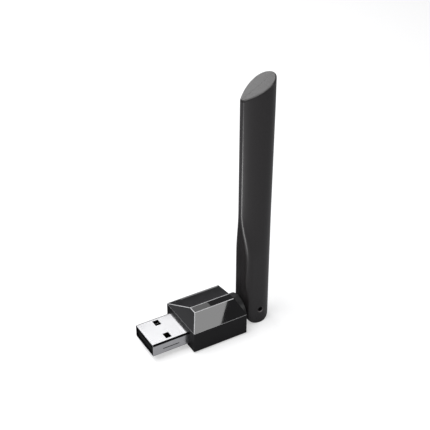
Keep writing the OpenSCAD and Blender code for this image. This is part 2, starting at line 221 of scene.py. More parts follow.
def tidy(mesh, merge):
    """Merges a mesh's doubles, drops faces with no area and turns the rest outwards."""
    bm = bmesh.new()
    bm.from_mesh(mesh)
    bmesh.ops.remove_doubles(bm, verts=bm.verts, dist=merge)
    bmesh.ops.dissolve_degenerate(bm, edges=bm.edges, dist=merge)
    bmesh.ops.recalc_face_normals(bm, faces=bm.faces)
    bm.to_mesh(mesh)
    bm.free()


def linked(name, mesh):
    """A new object of that mesh in the scene."""
    made = bpy.data.objects.new(name, mesh)
    bpy.context.scene.collection.objects.link(made)
    return made


def smooth(obj, angle=32):
    """Shades the object smooth, with a crease wherever two faces turn by more than the angle."""
    obj.data.shade_smooth()
    obj.data.set_sharp_from_angle(angle=math.radians(angle))


def cut(obj, *cutters):
    """Takes each cutter out of the object for good, and deletes the cutter."""
    for cutter in cutters:
        hole = obj.modifiers.new("hole", "BOOLEAN")
        hole.operation, hole.solver, hole.object = "DIFFERENCE", "EXACT", cutter
        fix_shape(obj)
        bpy.data.objects.remove(cutter)


def revolved(name, profile, centre, along, count=48):
    """Round solid: the profile's (distance along, radius) points turned about an axis.

    Point = centre + along * distance + radius * (cos t * side + sin t * up), for t round the circle.
    """
    along = np.array(along, float)
    side = np.cross(along, [0.3, 0.4, 0.86])
    side /= np.linalg.norm(side)
    up = np.cross(along, side)
    turn = np.linspace(0, 2 * math.pi, count + 1)[:, None, None]
    distance, radius = (np.array(profile)[None, :, i, None] for i in (0, 1))
    points = np.array(centre) + distance * along + radius * (np.cos(turn) * side + np.sin(turn) * up)
    return surface_object(name, [points])


def prism(name, outline, y_low, y_high):
    """Solid between two Y values over a closed outline of (x, z) points."""
    loop = np.vstack([outline, outline[:1]])
    levels = np.array([y_low, y_high])
    wall = np.stack(
        [np.broadcast_to(loop[:, 0], (2, len(loop))), np.broadcast_to(levels[:, None], (2, len(loop))),
         np.broadcast_to(loop[:, 1], (2, len(loop)))], -1
    )
    mesh = bpy.data.meshes.new(name)
    count = len(outline)
    points = wall[:, :-1].reshape(-1, 3)
    ring = np.arange(count)
    sides = np.stack([ring, (ring + 1) % count, (ring + 1) % count + count, ring + count], -1)
    mesh.from_pydata(points.tolist(), [], sides.tolist() + [ring.tolist(), (ring + count).tolist()])
    tidy(mesh, 1e-8)
    return linked(name, mesh)


def cad_copy(node, name):
    """Copy of a construction node with its triangles joined into whole faces."""
    mesh = frame["nodes"][node].data.copy()
    mesh.materials.clear()
    bm = bmesh.new()
    bm.from_mesh(mesh)
    bmesh.ops.remove_doubles(bm, verts=bm.verts, dist=1e-6)
    bmesh.ops.dissolve_degenerate(bm, edges=bm.edges, dist=1e-7)
    bmesh.ops.dissolve_limit(bm, angle_limit=math.radians(0.4), verts=bm.verts, edges=bm.edges)
    bm.to_mesh(mesh)
    bm.free()
    mesh.name = name
    return linked(name, mesh)


def edge_ends(obj):
    """Both ends of every edge of the object, as two (edges, 3) arrays."""
    mesh = obj.data
    points = np.empty(len(mesh.vertices) * 3, np.float32)
    mesh.vertices.foreach_get("co", points)
    ends = np.empty(len(mesh.edges) * 2, np.int32)
    mesh.edges.foreach_get("vertices", ends)
    return points.reshape(-1, 3)[ends.reshape(-1, 2)].transpose(1, 0, 2)


def break_edges(obj, chosen, width, segments=3):
    """Rounds the chosen edges, given as one truth value for each edge, to that width."""
    weight = obj.data.attributes.new("bevel_weight_edge", "FLOAT", "EDGE")
    weight.data.foreach_set("value", chosen.astype(np.float32))
    smooth(obj)
    rounding = obj.modifiers.new("broken_edges", "BEVEL")
    rounding.limit_method = "WEIGHT"
    rounding.width, rounding.segments = width, segments
    rounding.harden_normals = True
    rounding.use_clamp_overlap = True


def fix_shape(obj):
    """Puts the object's modifiers into its mesh for good."""
    made = bpy.data.meshes.new_from_object(obj.evaluated_get(bpy.context.evaluated_depsgraph_get()))
    obj.modifiers.clear()
    old, obj.data = obj.data, made
    bpy.data.meshes.remove(old)


def face_frames(obj):
    """Middle and normal of every face of the object, as two (faces, 3) arrays."""
    faces = obj.data.polygons
    centres, normals = np.empty(len(faces) * 3, np.float32), np.empty(len(faces) * 3, np.float32)
    faces.foreach_get("center", centres)
    faces.foreach_get("normal", normals)
    return centres.reshape(-1, 3), normals.reshape(-1, 3)


def second_finish(obj, finish, chosen):
    """Gives the chosen faces of the object another finish."""
    obj.data.materials.append(finish)
    obj.data.polygons.foreach_set("material_index", chosen.astype(np.int32))


def on_planes(ends, planes, least=2):
    """Which edges lie on at least that many of the planes; a plane is a (normal, distance) pair."""
    near = 2e-6
    hits = [np.all(np.abs(ends @ np.array(n) - d) < near, axis=0) for n, d in planes]
    return np.sum(hits, axis=0) >= least


# ---------------------------------------------------------------- finishes


def linear(hex_colour):
    """Linear RGBA from an sRGB hex value such as #1d1e20."""
    code = np.array([int(hex_colour[i : i + 2], 16) for i in (1, 3, 5)]) / 255
    values = np.where(code <= 0.04045, code / 12.92, ((code + 0.055) / 1.055) ** 2.4)
    return (*values.tolist(), 1.0)


def add_node(tree, kind, inputs=None, **settings):
    """Adds a node; settings are its properties, inputs its sockets' values or what feeds them."""
    made = tree.nodes.new(kind)
    for key, value in settings.items():
        setattr(made, key, value)
    for key, value in (inputs or {}).items():
        if isinstance(value, bpy.types.NodeSocket):
            tree.links.new(value, made.inputs[key])
        else:
            made.inputs[key].default_value = value
    return made


def empty_tree(owner):
    """The node tree of a material or a world, with nothing in it yet."""
    owner.use_nodes = True
    owner.node_tree.nodes.clear()
    return owner.node_tree


def new_finish(name, colour, roughness, **inputs):
    """A material with one shader, its plain values set; returns it with its tree and shader."""
    made = bpy.data.materials.new(name)
    tree = empty_tree(made)
    shader = add_node(
        tree, "ShaderNodeBsdfPrincipled", {"Base Color": linear(colour), "Roughness": roughness, **inputs}
    )
    add_node(tree, "ShaderNodeOutputMaterial", {"Surface": shader.outputs["BSDF"]})
    return made, tree, shader


def grain(tree, shader, size, height, roughness=None, stretch=(1, 1, 1), detail=3.0):
    """Surface grain: noise of one grain size gives the bump, and if asked a range of roughness."""
    place = add_node(tree, "ShaderNodeTexCoord").outputs["Object"]
    mapped = add_node(tree, "ShaderNodeMapping", {"Vector": place, "Scale": stretch}).outputs["Vector"]
    noise = add_node(
        tree, "ShaderNodeTexNoise", {"Vector": mapped, "Scale": 1 / size, "Detail": detail, "Roughness": 0.55}
    )
    bump = add_node(
        tree, "ShaderNodeBump", {"Height": noise.outputs["Fac"], "Strength": 1.0, "Distance": height}
    )
    tree.links.new(bump.outputs["Normal"], shader.inputs["Normal"])
    if roughness:
        spread = add_node(
            tree, "ShaderNodeMapRange",
            {"Value": noise.outputs["Fac"], "From Min": 0.3, "From Max": 0.7, "To Min": roughness[0],
             "To Max": roughness[1]},
        )
        tree.links.new(spread.outputs["Result"], shader.inputs["Roughness"])
    return noise


def mottle(tree, shader, source, low, high):
    """Colour between two shades, driven by a pattern."""
    ramp = add_node(tree, "ShaderNodeValToRGB", {"Fac": source.outputs["Fac"]})
    ramp.color_ramp.elements[0].position, ramp.color_ramp.elements[1].position = 0.35, 0.65
    ramp.color_ramp.elements[0].color, ramp.color_ramp.elements[1].color = linear(low), linear(high)
    tree.links.new(ramp.outputs["Color"], shader.inputs["Base Color"])


def shade(hex_colour, factor):
    """The same colour lighter or darker by a factor on its sRGB values."""
    levels = [min(255, round(int(hex_colour[i : i + 2], 16) * factor)) for i in (1, 3, 5)]
    return "#" + "".join(f"{v:02x}" for v in levels)


def grained(
    name, colour, roughness, shades, size, height, spread=None, stretch=(1, 1, 1), detail=3.0, **inputs
):
    """A finish whose grain gives its bump, its two shades and, if asked, its range of roughness."""
    made, tree, shader = new_finish(name, colour, roughness, **inputs)
    pattern = grain(tree, shader, size, height, spread, stretch, detail)
    mottle(tree, shader, pattern, *shades)
    return made


def satin_abs(colours):
    """ABS from a finely spark-eroded mould: near black, an even satin sheen with a fine tooth."""
    return grained(
        "satin_moulded_abs", colours.case, 0.6,
        (shade(colours.case, 0.94), shade(colours.case, 1.07)),
        0.16 * MM, 0.004 * MM, (0.55, 0.66), IOR=1.35,
    )


def polished_abs(colours):
    """ABS from a mirror-polished mould: deep black gloss, with a very slight wave in it."""
    return grained(
        "polished_gloss_abs", colours.cap, 0.02,
        (shade(colours.cap, 0.95), shade(colours.cap, 1.05)),
        5 * MM, 0.0003 * MM, (0.012, 0.025), detail=0.0, IOR=1.6,
    )


def painted_highlight_abs(colours):
    """Light grey ABS with a soft sheen, a painted highlight on the rounded edges of the cap and of the tray's
    rim.
    """
    return grained(
        "painted_highlight_edge", "#c4c4c6", 0.3, ("#b8b8ba", "#d0d0d2"),
        0.5 * MM, 0.001 * MM, (0.25, 0.35), IOR=1.52,
    )


def textured_abs(colours):
    """ABS from a lightly etched mould: warm charcoal, soft sheen and an even fine grain."""
    return grained(
        "textured_moulded_abs", colours.antenna, 0.3,
        (shade(colours.antenna, 0.95), shade(colours.antenna, 1.06)),
        0.2 * MM, 0.004 * MM, (0.27, 0.34), IOR=1.5,
    )


def painted_hole_rim_abs(colours):
    """Paler charcoal ABS with a soft sheen, a painted highlight on the flared edge of the hinge pin's hole.
    """
    return grained(
        "painted_hole_rim_highlight", "#6e6a6b", 0.35, ("#646061", "#7a7677"),
        0.4 * MM, 0.001 * MM, (0.3, 0.42), IOR=1.5,
    )


def acetal(colours):
    """Black acetal of a bearing part: waxy low gloss, faint flow marks."""
    return grained(
        "moulded_black_acetal", colours.swivel, 0.4,
        (shade(colours.swivel, 0.93), shade(colours.swivel, 1.08)),
        0.5 * MM, 0.004 * MM, (0.34, 0.46), stretch=(1, 1, 2.5), IOR=1.48,
    )


def nickel_plate(colours):
    """Nickel plate over rolled and folded sheet steel: bright, with faint lines along the roll."""
    return grained(
        "nickel_plated_rolled_steel", colours.plug, 0.2,
        (shade(colours.plug, 0.975), shade(colours.plug, 1.015)),
        0.12 * MM, 0.0012 * MM, (0.17, 0.26), stretch=(0.06, 1, 1), Metallic=1.0,
    )


def painted_shade_steel(colours):
    """Near-black rough metal: painted shade on the shell's inside and the walls of its holes, and a painted
    dark reflection on its upper folds.
    """
    return grained(
        "painted_shade_on_steel", "#141416", 0.6, ("#0f0f11", "#1c1c1e"),
        0.06 * MM, 0.003 * MM, (0.5, 0.7), stretch=(1, 1, 0.3), Metallic=1.0,
    )


def liquid_crystal_polymer(colours):
    """Black glass-filled polymer of the contact carrier: dull, with pale fibre specks."""
    return grained(
        "glass_filled_black_polymer", "#0b0b0c", 0.7, ("#09090a", "#0f0f10"),
        0.09 * MM, 0.003 * MM, stretch=(0.4, 1, 1), IOR=1.3,
    )


def gold_plate(colours):
    """Hard gold over nickel on stamped strip: warm, bright, fine lines along each contact."""
    return grained(
        "hard_gold_plated_strip", "#e8bd62", 0.22, ("#dfb158", "#efc872"),
        0.05 * MM, 0.0008 * MM, (0.18, 0.3), stretch=(0.08, 1, 1), Metallic=1.0,
    )


def blackened_steel(colours):
    """Oil-blackened steel pin: dark grey metal with a dull skin."""
    return grained(
        "oil_blackened_steel", "#3a3a3c", 0.4, ("#303032", "#454547"),
        0.15 * MM, 0.002 * MM, (0.32, 0.5), Metallic=1.0,
    )


def plated_spring_steel(colours):
    """Zinc-plated spring steel of the clip, washer and crystal can: cool bright grey."""
    return grained(
        "zinc_plated_spring_steel", "#bfc2c6", 0.28, ("#b3b6ba", "#cccfd3"),
        0.3 * MM, 0.002 * MM, (0.22, 0.36), Metallic=1.0,
    )


def solder_mask(colours):
    """Green solder mask on glass laminate: low gloss, with the copper's edges just showing."""
    made, tree, shader = new_finish("solder_mask_on_laminate", colours.board, 0.35, IOR=1.5)
    place = add_node(tree, "ShaderNodeTexCoord").outputs["Object"]
    tracks = add_node(
        tree, "ShaderNodeTexBrick",
        {"Vector": place, "Color1": linear(colours.board), "Color2": linear(shade(colours.board, 1.12)),
         "Mortar": linear(shade(colours.board, 1.35)), "Scale": 1.0, "Mortar Size": 0.06 * MM,
         "Brick Width": 1.9 * MM, "Row Height": 0.7 * MM},
    )
    tree.links.new(tracks.outputs["Color"], shader.inputs["Base Color"])
    bump = add_node(
        tree, "ShaderNodeBump", {"Height": tracks.outputs["Fac"], "Strength": 1.0, "Distance": 0.02 * MM}
    )
    tree.links.new(bump.outputs["Normal"], shader.inputs["Normal"])
    return made


def moulding_resin(colours):
    """Transfer-moulded epoxy of chips and resistors: dark grey, matt and slightly gritty."""
    return grained(
        "transfer_moulded_epoxy", "#232426", 0.6, ("#1e1f21", "#2b2c2e"),
        0.07 * MM, 0.003 * MM, IOR=1.54,
    )


def ferrite(colours):
    """Sintered ferrite of the inductor: dull dark grey with a fine sparkle."""
    return grained(
        "sintered_ferrite", "#434446", 0.5, ("#37383a", "#525355"),
        0.06 * MM, 0.003 * MM, (0.35, 0.65), IOR=1.8,
    )


def fired_ceramic(colours):
    """Fired barium titanate of the capacitors: tan, eggshell gloss."""
    return grained(
        "fired_capacitor_ceramic", "#a5815a", 0.45, ("#997650", "#b28d64"),
        0.08 * MM, 0.002 * MM, IOR=1.7,
    )


def extruded_jacket(colours):
    """Extruded fluoropolymer jacket of the thin coax: pale grey, smooth and a little waxy."""
    return grained(
        "extruded_fluoropolymer_jacket", "#cfcfc9", 0.32, ("#c8c8c2", "#d6d6d1"),
        0.2 * MM, 0.002 * MM, (0.28, 0.38), IOR=1.36,
    )


def moulded_rubber(colours):
    """Nitrile rubber ring: black, matt, with a soft bloom."""
    return grained(
        "moulded_nitrile_rubber", "#161616", 0.7, ("#131313", "#1e1e1e"),
        0.2 * MM, 0.003 * MM, (0.6, 0.8), IOR=1.5,
    )


def natural_nylon(colours):
    """Natural nylon washers: creamy white, slightly cloudy and satin."""
    return grained(
        "natural_nylon", "#dedbcf", 0.4, ("#d8d4c6", "#e5e2d8"),
        0.6 * MM, 0.002 * MM, (0.35, 0.5), IOR=1.53,
    )


def drawn_brass(colours):
    """Drawn brass tube: yellow metal with long fine draw lines."""
    return grained(
        "drawn_brass_tube", "#cfa851", 0.28, ("#c49d46", "#d9b45f"),
        0.1 * MM, 0.0015 * MM, (0.22, 0.36), stretch=(1, 1, 0.06), Metallic=1.0,
    )


def white_dielectric(colours):
    """Turned white dielectric: dense white plastic with light tool rings."""
    return grained(
        "turned_white_dielectric", "#e4e3dd", 0.38, ("#dddcd5", "#eae9e4"),
        0.15 * MM, 0.002 * MM, (0.34, 0.46), stretch=(0.3, 0.3, 2), IOR=1.35,
    )


def bare_copper(colours):
    """Bare drawn copper wire: warm orange metal, slightly dulled by air."""
    return grained(
        "bare_drawn_copper", "#c4764a", 0.32, ("#b46840", "#cf8456"),
        0.4 * MM, 0.0015 * MM, (0.25, 0.42), stretch=(1, 1, 0.2), Metallic=1.0,
    )


FINISHES = {
    "case_plastic": satin_abs,
    "cap_plastic": polished_abs,
    "antenna_plastic": textured_abs,
    "swivel_plastic": acetal,
    "plug_steel": nickel_plate,
    "plug_plastic": liquid_crystal_polymer,
    "contact_gold": gold_plate,
    "pin_steel": blackened_steel,
    "small_steel": plated_spring_steel,
    "board_laminate": solder_mask,
    "chip_resin": moulding_resin,
    "ferrite": ferrite,
    "capacitor_ceramic": fired_ceramic,
    "coax_jacket": extruded_jacket,
    "ring_rubber": moulded_rubber,
    "washer_nylon": natural_nylon,
    "sleeve_brass": drawn_brass,
    "insulator_plastic": white_dielectric,
    "radiator_copper": bare_copper,
}
SLOT_OF = {part["node"]: part["material_slot"] for part in frame["record"]["subparts"]}
MADE_FINISHES = {}


def finish_for(slot):
    """The material of one of the record's slots, made the first time that it is asked for."""
    if slot not in MADE_FINISHES:
        MADE_FINISHES[slot] = FINISHES[slot](bpy.context.scene.adapter_colours)
    return MADE_FINISHES[slot]


def settle(obj, body, *nodes):
    """Gives a new piece its finish, body and slot, and lets it stand for its construction nodes."""
    slot = SLOT_OF[nodes[0]]
    obj.data.materials.clear()
    obj.data.materials.append(finish_for(slot))
    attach(obj, body)
    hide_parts(*nodes)


# ---------------------------------------------------------------- antenna surface


ROUND_ROWS = 7  # rows on the quarter round at each end of the casing
FLANK_START = 5.6 * MM  # height of the flanks' first full row, over the round foot
FLANK_END = 3 * MM  # the flanks' last full row, below the lowest point of the sloping top
TOP_WALL = 1.4 * MM  # the casing's top wall, measured straight down
SLOT_ROOF = 1.05 * MM  # the floor between the slot and the hollow
HOLLOW_START = 0.4 * MM  # the hollow's first full row, over that floor
HOLLOW_EDGE = 0.02 * MM  # rounding of the hollow's ends
HOLLOW_PAST = 0.5 * MM  # how far the hollow's cutter runs past the parting face
HOLLOW_CORNER = 0.3 * MM  # corner radius of the hollow's sections
HOLLOW_NOSE = 2.6 * MM  # centre of the hollow's nose, behind the blade's nose


def half_outline(section):
    """Half outline of sections, from the middle of the back round to the nose.

    A section is [back centre x, back radius, corner centre x, corner centre y, corner radius, angle].
    The back is a quarter circle, the flank falls from it by (share ** power) so that it meets the corner
    arc at the given angle, and the corner arc ends facing forwards. Returns x and y, sections by points.
    """
    back_x, back_r, corner_x, corner_y, corner_r, angle = (section[:, i, None] for i in range(6))
    start_x, start_y = corner_x - corner_r * np.sin(angle), corner_y + corner_r * np.cos(angle)
    drop = back_r - start_y
    power = np.where(
        drop > 0.05 * MM, np.maximum(1, np.tan(angle) * (back_x - start_x) / np.maximum(drop, 1e-9)), 1
    )
    turn = np.radians(np.linspace(0, 90, 25))[None]
    share = np.linspace(0, 1, 26)[None, 1:-1]
    round_in = angle + (math.pi / 2 - angle) * np.linspace(0, 1, 17)[None]
    x = [
        back_x + back_r * np.cos(turn),
        back_x - (back_x - start_x) * share,
        corner_x - corner_r * np.sin(round_in),
    ]
    y = [back_r * np.sin(turn), back_r - drop * share**power, corner_y + corner_r * np.cos(round_in)]
    return np.concatenate(x, 1), np.concatenate(y, 1)


def inset(x, y, distance):
    """The outline moved in along its own normals, row by row, with no point past y = 0."""
    dx, dy = np.gradient(x, axis=1), np.gradient(y, axis=1)
    dx[:, 0] = 0
    length = np.maximum(np.hypot(dx, dy), 1e-12)
    return x - distance * dy / length, np.maximum(y + distance * dx / length, 0)


def section_rows(sizes, levels, wall):
    """Sections at the given heights: the hinge's mixed with the blade's by a smooth step."""
    front = PIN.x - sizes.hinge_front
    hollow = wall > 0
    corner = HOLLOW_CORNER if hollow else sizes.hinge_corner
    hinge = np.array(
        [PIN.x + sizes.hinge_back - sizes.hinge_half, sizes.hinge_half - wall, front + wall + corner,
         sizes.hinge_half - wall - corner, corner, 0]
    )
    nose = PIN.x - sizes.nose_out
    nose_r = HOLLOW_CORNER if hollow else sizes.nose_r
    nose_centre = nose + (HOLLOW_NOSE if hollow else sizes.nose_r)
    blade = np.array(
        [PIN.x + sizes.back_in, sizes.blade_r - wall, nose_centre, sizes.nose_flat, nose_r, sizes.meet_angle]
    )
    share = np.clip((levels - sizes.blend_low) / (sizes.blend_high - sizes.blend_low), 0, 1)
    share = (share**2 * (3 - 2 * share))[:, None]
    rows = hinge + (blade - hinge) * share
    tip = BLADE_HIGH.z - math.tan(sizes.slope) * (BLADE_HIGH.x - nose)
    rows[:, 0] += sizes.back_lean * np.clip(levels - sizes.blend_low, 0, None) / (tip - sizes.blend_low)
    return rows


def round_foot(sizes, x):
    """Height of the round foot under a point at x."""
    reach = np.clip(sizes.foot_r**2 - (x - PIN.x) ** 2, 0, None)
    return PIN.z - np.sqrt(reach)


def sloping_top(sizes, x):
    """Height of the sloping top over a point at x, through the highest point of the frame's blade."""
    return BLADE_HIGH.z + math.tan(sizes.slope) * (x - BLADE_HIGH.x)


def blade_sheets(sizes, side, outer=True):
    """The sheets of one half of the casing, or of its hollow.

    Rows run up the casing: a quarter round off the bottom end, the flanks through the two sections, and a
    quarter round on to the sloping top. Each row is the half outline moved in by that round. A middle
    sheet lies on the parting face, and two strips close the bottom and the top.
    """
    turn = np.radians(np.linspace(0, 90, ROUND_ROWS))
    if outer:
        low, high, lift, wall, middle_y = sizes.end_edge, sizes.rim, 0.0, 0.0, sizes.parting
    else:
        low, high, lift, wall, middle_y = HOLLOW_EDGE, HOLLOW_EDGE, TOP_WALL, sizes.wall, -HOLLOW_PAST
    base = PIN.z + sizes.slot_top + SLOT_ROOF
    start = FLANK_START if outer else base + HOLLOW_START
    end = sloping_top(sizes, PIN.x - sizes.nose_out) - FLANK_END
    straight = np.concatenate(
        [np.linspace(start, sizes.blend_low, 6)[:-1], np.linspace(sizes.blend_low, sizes.blend_high, 21),
         np.linspace(sizes.blend_high, end, 8)[1:]]
    )
    levels = np.concatenate([np.full(ROUND_ROWS, straight[0]), straight, np.full(ROUND_ROWS, straight[-1])])
    in_by = np.concatenate([low * (1 - np.sin(turn)), np.zeros(len(straight)), high * (1 - np.cos(turn))])
    x, y = inset(*half_outline(section_rows(sizes, levels, wall)), in_by[:, None])
    z = np.repeat(levels[:, None], x.shape[1], 1)
    foot = round_foot(sizes, x[:ROUND_ROWS]) if outer else base
    z[:ROUND_ROWS] = foot + (low * (1 - np.cos(turn)))[:, None]
    rim = (high * (1 - np.sin(turn)))[:, None] / math.cos(sizes.slope)
    z[-ROUND_ROWS:] = sloping_top(sizes, x[-ROUND_ROWS:]) - lift - rim
    x, z = (np.concatenate([a, a[:, -1:]], 1) for a in (x, z))
    y = np.maximum(np.concatenate([y, np.full((len(y), 1), middle_y)], 1), middle_y)
    y[:, 0] = middle_y
    flank = np.stack([x, AXIS_Y + side * y, z], -1)
    parting = np.stack([x, np.full_like(x, AXIS_Y + side * middle_y), z], -1)
    ends = [np.stack([flank[i], parting[i]]) for i in (0, -1)]
    return [flank, parting, *ends]


def slot_outline(sizes):
    """Outline of the tongue's room: a round about the pin, open to the front and the bottom."""
    far = 2 * sizes.foot_r
    bend = math.asin(sizes.slot_top / sizes.slot_r)
    arc = np.linspace(math.pi - bend, bend - math.pi / 2, 40)
    over = np.stack([np.cos(arc), np.sin(arc)], -1) * sizes.slot_r
    corners = [[-far, sizes.slot_top]], over, [[sizes.slot_top, -far], [-far, -far]]
    return np.concatenate(corners) + [PIN.x, PIN.z]


def pin_hole(sizes):
    """Cutter for the pin's hole, which widens at 45 degrees where it meets the antenna's sides."""
    half, edge = sizes.hinge_half, sizes.hole_edge
    profile = [
        (-half - edge, 0), (-half - edge, HOLE_R + 2 * edge), (edge - half, HOLE_R),
        (half - edge, HOLE_R), (half + edge, HOLE_R + 2 * edge), (half + edge, 0),
    ]
    return revolved("pin_hole", profile, PIN, (0, 1, 0), 64)


# ---------------------------------------------------------------- operators


class ADAPTER_OT_plug(bpy.types.Operator):
    """Plug shell with the edges of its mouth broken, painted shade inside it and in its holes, and a painted
    dark reflection along its upper folds
    """

    bl_idname = "adapter.plug"
    bl_label = "Plug shell"

    def execute(self, context):
        sizes = context.scene.adapter_plug
        shell = cad_copy("usb_shell", "plug_shell")
        rims = on_planes(edge_ends(shell), [((1, 0, 0), PLUG_LOW.x)], 1)
        break_edges(shell, rims, sizes.edge, 2)
        settle(shell, "stick", "usb_shell")
        # Painted shade on the shell's inside and hole walls, and a painted dark reflection on its upper
        # folds.
        second_finish(shell, painted_shade_steel(context.scene.adapter_colours), painted_shade_faces(shell))
        return {"FINISHED"}


def painted_shade_faces(shell):
    """Faces of the shell that get painted shade, its inside and the walls of its holes, and a painted dark
    reflection, its upper folds.

    A fold's faces are tilted in both Y and Z. The rim of the mouth is left out.
    """
    centres, normals = face_frames(shell)
    skin, rim, tilt, upwards = 0.01 * MM, 0.06 * MM, 0.1, 0.15
    low, high = np.array(PLUG_LOW)[1:], np.array(PLUG_HIGH)[1:]
    inside = np.all((centres[:, 1:] > low + skin) & (centres[:, 1:] < high - skin), axis=1)
    fold = (np.abs(normals[:, 1]) > tilt) & (np.abs(normals[:, 2]) > tilt)
    outward = np.sum(normals[:, 1:] * (centres[:, 1:] - [0, (PLUG_LOW.z + PLUG_HIGH.z) / 2]), axis=1) > 0
    upper_fold = fold & outward & (normals[:, 2] > upwards)
    return ((inside & ~(fold & outward)) | upper_fold) & (centres[:, 0] > PLUG_LOW.x + rim)


class ADAPTER_OT_contacts(bpy.types.Operator):
    """Contact strips with sprung, crowned noses"""

    bl_idname = "adapter.contacts"
    bl_label = "Contacts"

    def execute(self, context):
        raster, near = 0.5 * MM, 0.01 * MM
        points = np.array([v.co for v in frame["nodes"]["usb_contacts"].data.vertices])
        sides = []
        for place in np.unique(np.round(points[:, 1] / raster).astype(int)):
            on_side = np.abs(points[:, 1] - place * raster) < near
            if on_side.any():
                sides.append(points[on_side])
        strips = contact_strips(sides, context.scene.adapter_plug.contact_crown)
        contacts = surface_object("contact_strips", strips)
        smooth(contacts, 35)
        settle(contacts, "stick", "usb_contacts")
        return {"FINISHED"}


def contact_strips(edges, crown):
    """Sheets of all four strips.

    Each strip's two long sides come from the frame. Its top rises by crown * sin(pi * share) ** 2 over the
    first part behind the nose, and its section is a rectangle with softened corners, closed at both ends.
    """
    rings, around = 40, 33
    sprung_share, squareness = 0.45, 8
    sides = sorted(edges, key=lambda points: points[:, 1].mean())
    made = []
    for left, right in zip(sides[0::2], sides[1::2]):
        low, high = np.minimum(left.min(0), right.min(0)), np.maximum(left.max(0), right.max(0))
        along = np.linspace(0, 1, rings)
        x = low[0] + (high[0] - low[0]) * along
        hump = crown * np.sin(math.pi * np.clip(along / sprung_share, 0, 1)) ** 2
        half_w, half_t = (high[1] - low[1]) / 2, (high[2] - low[2]) / 2
        centre_y, centre_z = (low[1] + high[1]) / 2, (high[2] + low[2]) / 2
        turn = np.linspace(0, 2 * math.pi, around)
        spread = np.abs(np.cos(turn)) ** squareness + np.abs(np.sin(turn)) ** squareness
        bulge = spread ** (-1 / squareness)
        across, up = half_w * np.cos(turn) * bulge, half_t * np.sin(turn) * bulge
        ring = np.stack(
            [np.broadcast_to(x[:, None], (rings, around)),
             centre_y + np.broadcast_to(across, (rings, around)),
             centre_z + hump[:, None] + up[None]], -1
        )
        middle_points = ring[[0, -1]].mean(1, keepdims=True).repeat(around, 1)
        made.append(np.concatenate([middle_points[:1], ring, middle_points[1:]]))
    return made


class ADAPTER_OT_case(bpy.types.Operator):
    """Lower case and faceted cap with their outer edges broken, and a painted highlight on the tray's rim and
    the cap's ridges
    """

    bl_idname = "adapter.case"
    bl_label = "Case and cap"

    def execute(self, context):
        sizes = context.scene.adapter_case
        tray = cad_copy("lower_case", "case_tray")
        box = [((1, 0, 0), CASE_LOW.x), ((1, 0, 0), CASE_HIGH.x), ((0, 1, 0), CASE_LOW.y),
               ((0, 1, 0), CASE_HIGH.y), ((0, 0, 1), CASE_LOW.z), ((0, 0, 1), CASE_HIGH.z)]
        break_edges(tray, on_planes(edge_ends(tray), box), sizes.case_edge)
        fix_shape(tray)
        settle(tray, "stick", "lower_case")
        # A light grey finish as a painted highlight on the tray's top rim and on the cap's rounded ridges.
        pale = painted_highlight_abs(context.scene.adapter_colours)
        centres, normals = face_frames(tray)
        tilted = (normals[:, 2] > 0.05) & (normals[:, 2] < 0.99)
        rim = (centres[:, 2] > CASE_HIGH.z - sizes.case_edge) & tilted
        second_finish(tray, pale, rim & (centres[:, 0] < CASE_HIGH.x - sizes.case_edge))

        cap = cad_copy("upper_cap", "faceted_cap")
        planes = cap_planes()
        break_edges(cap, on_planes(edge_ends(cap), planes), sizes.cap_edge)
        fix_shape(cap)
        settle(cap, "stick", "upper_cap")
        # The cap's rounded ridges, all but the rear one, get the painted highlight.
        centres, normals = face_frames(cap)
        along = 0.9995
        flat = np.any([np.abs(normals @ np.array(n)) > along for n, d in planes], axis=0)
        off = np.min([np.abs(centres @ np.array(n) - d) for n, d in planes], axis=0)
        rear = np.abs(centres @ np.array(planes[2][0]) - planes[2][1]) < sizes.cap_edge
        outside = centres[:, 2] > CASE_HIGH.z + 1e-6
        second_finish(cap, pale, ~flat & (off < sizes.cap_edge / 2) & ~rear & outside)
        return {"FINISHED"}


def top_strip():
    """Low and high corner of the cap's flat top strip."""
    points = np.array([v.co for v in frame["nodes"]["upper_cap"].data.vertices])
    strip = points[points[:, 2] > CAP_TOP - 1e-6]
    return strip.min(0), strip.max(0)


def cap_planes():
    """Planes of the cap's top, front, back, right and left, from its top strip and its foot."""
    strip_low, strip_high = top_strip()
    foot_z = CASE_HIGH.z
    planes = [(np.array([0, 0, 1]), CAP_TOP)]
    for axis, low, high in ((0, CASE_LOW.x, CASE_HIGH.x), (1, CASE_LOW.y, CASE_HIGH.y)):
        for foot, top in ((low, strip_low[axis]), (high, strip_high[axis])):
            normal = np.zeros(3)
            normal[axis], normal[2] = CAP_TOP - foot_z, foot - top
            normal /= np.linalg.norm(normal)
            planes.append((normal, normal[axis] * foot + normal[2] * foot_z))
    return planes


class ADAPTER_OT_swivel(bpy.types.Operator):
    """Boss, collar and tongue with their edges broken"""

    bl_idname = "adapter.swivel"
    bl_label = "Swivel"

    def execute(self, context):
        width = context.scene.adapter_case.swivel_edge
        bore_r, tongue_half, hole_r, collar = 3 * MM, 1.7 * MM, 1.5 * MM, 0.6 * MM
        socket = cad_copy("swivel_socket", "swivel_boss")
        ends = edge_ends(socket)
        from_axis = np.hypot(ends[..., 1] - AXIS_Y, ends[..., 2] - PIN.z)
        rim = on_planes(ends, [((1, 0, 0), BOSS_END)], 1) & np.all(from_axis > bore_r, axis=0)
        break_edges(socket, rim, width)
        settle(socket, "stick", "swivel_socket")

        knuckle = cad_copy("swivel_knuckle", "swivel_tongue")
        ends = edge_ends(knuckle)
        from_pin = np.hypot(ends[..., 0] - PIN.x, ends[..., 2] - PIN.z)
        faces = [((0, 1, 0), AXIS_Y - tongue_half), ((0, 1, 0), AXIS_Y + tongue_half)]
        clear = (from_pin > hole_r) & (ends[..., 0] > BOSS_END + collar)
        outline = on_planes(ends, faces, 1) & np.all(clear, axis=0)
        break_edges(knuckle, outline, width)
        settle(knuckle, "swivel", "swivel_knuckle")
        return {"FINISHED"}


